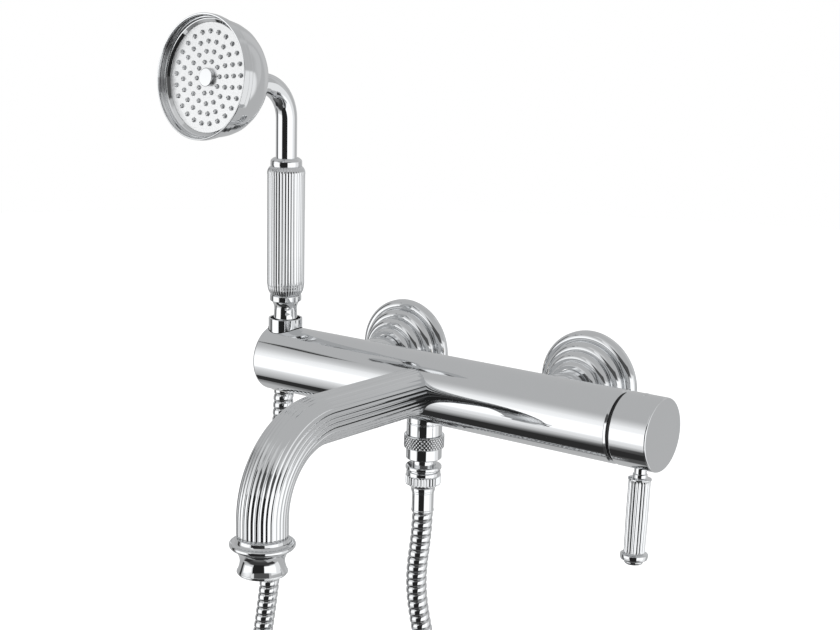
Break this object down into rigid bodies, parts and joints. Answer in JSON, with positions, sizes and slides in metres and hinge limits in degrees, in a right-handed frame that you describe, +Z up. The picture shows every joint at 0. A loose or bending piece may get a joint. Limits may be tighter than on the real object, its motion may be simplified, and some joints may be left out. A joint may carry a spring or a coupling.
{
  "type": "wall mixer tap",
  "caption": "Wall mounted bath and shower mixer with side lever, fluted swan spout, pull down diverter and a lift out hand shower on a metal hose.",
  "frame": {"origin": "midway between the two wall inlets, on the plane of the finished wall", "axes": "+X along the body towards the lever end, +Y into the wall, +Z up"},
  "size_m": [0.3377, 0.2765, 0.5943],
  "materials": {
    "chrome": "bright polished chrome plate",
    "bare_brass": "turned, uncoated",
    "spring_steel": "drawn stainless wire and bar",
    "seal_rubber": "moulded, matt",
    "inner_plastic": "moulded, fine matt",
    "ceramic": "ground alumina",
    "jet_silicone": "moulded silicone",
    "black_nut": "blackened, matt",
    "hose_metal": "bright spiral metal strip",
    "hose_tie": "flat woven strap"
  },
  "bodies": {
    "tap": {"wall_flange_left": "chrome", "wall_flange_right": "chrome", "union_sleeve_left": "chrome", "union_sleeve_right": "chrome", "body": "chrome", "spout_tube": "chrome", "spout_outlet": "chrome", "outlet_stub": "chrome", "outlet_nipple": "chrome", "hose_nut": "chrome", "hose_ferrule": "chrome", "holder_cup": "chrome", "union_stud_left": "bare_brass", "union_stud_right": "bare_brass", "spout_nipple": "bare_brass", "diverter_spring": "spring_steel", "check_valve_spring": "spring_steel", "union_seals": "seal_rubber", "cartridge_seal": "seal_rubber", "spout_seal": "seal_rubber", "aerator_seal": "seal_rubber", "hose_washer": "seal_rubber", "cartridge_housing": "inner_plastic", "aerator_housing": "inner_plastic", "aerator_screen": "inner_plastic", "check_valve_body": "inner_plastic", "hose_guide": "inner_plastic", "ceramic_disc_fixed": "ceramic", "bonnet_nut": "black_nut", "hose_left_leg": "hose_metal", "hose_right_leg": "hose_metal", "hose_coil": "hose_metal", "hose_tie": "hose_tie"},
    "lever": {"lever_cap": "chrome", "cap_screw": "spring_steel", "index_button": "chrome", "lever_stem": "chrome", "lever_grip": "chrome", "lever_end": "chrome", "cartridge_spindle": "inner_plastic", "ceramic_disc_moving": "ceramic"},
    "diverter": {"diverter_sleeve": "chrome", "diverter_pin": "spring_steel", "diverter_spindle": "bare_brass", "diverter_seal": "seal_rubber"},
    "check_valve": {"check_valve_poppet": "inner_plastic"},
    "hose_end": {"swivel_ferrule": "chrome"},
    "handset": {"handle_tail": "chrome", "swivel_fitting": "bare_brass", "swivel_washer": "seal_rubber", "handle_grip": "chrome", "handle_collar": "chrome", "handle_tube": "chrome", "rose_rim": "chrome", "rose_shell": "chrome", "rose_seal": "seal_rubber", "spray_plate": "chrome", "jet_mat": "jet_silicone", "water_spreader": "inner_plastic", "plate_screw": "chrome"}
  },
  "joints": [
    {"name": "lever_turn", "type": "hinge", "parent": "tap", "child": "lever", "pos_m": [0.158, -0.0797, 0], "axis": [-1, 0, 0], "range_deg": [0, 100]},
    {"name": "diverter_slide", "type": "slide", "parent": "tap", "child": "diverter", "axis": [0, 0, -1], "range_m": [0, 0.0035], "stiffness_N_per_m": 600, "springref_m": -0.004, "deforming": ["diverter_spring"]},
    {"name": "check_poppet", "type": "slide", "parent": "tap", "child": "check_valve", "axis": [0, 0, -1], "range_m": [0, 0.002], "stiffness_N_per_m": 100, "springref_m": -0.001, "deforming": ["check_valve_spring"]},
    {"name": "handset_lift", "type": "slide", "parent": "tap", "child": "hose_end", "axis": [0, 0, 1], "range_m": [0, 0.08], "deforming": ["hose_left_leg"]},
    {"name": "handset_turn", "type": "hinge", "parent": "hose_end", "child": "handset", "pos_m": [-0.1212, -0.0797, 0], "axis": [0, 0, 1], "range_deg": [-110, 115]}
  ]
}
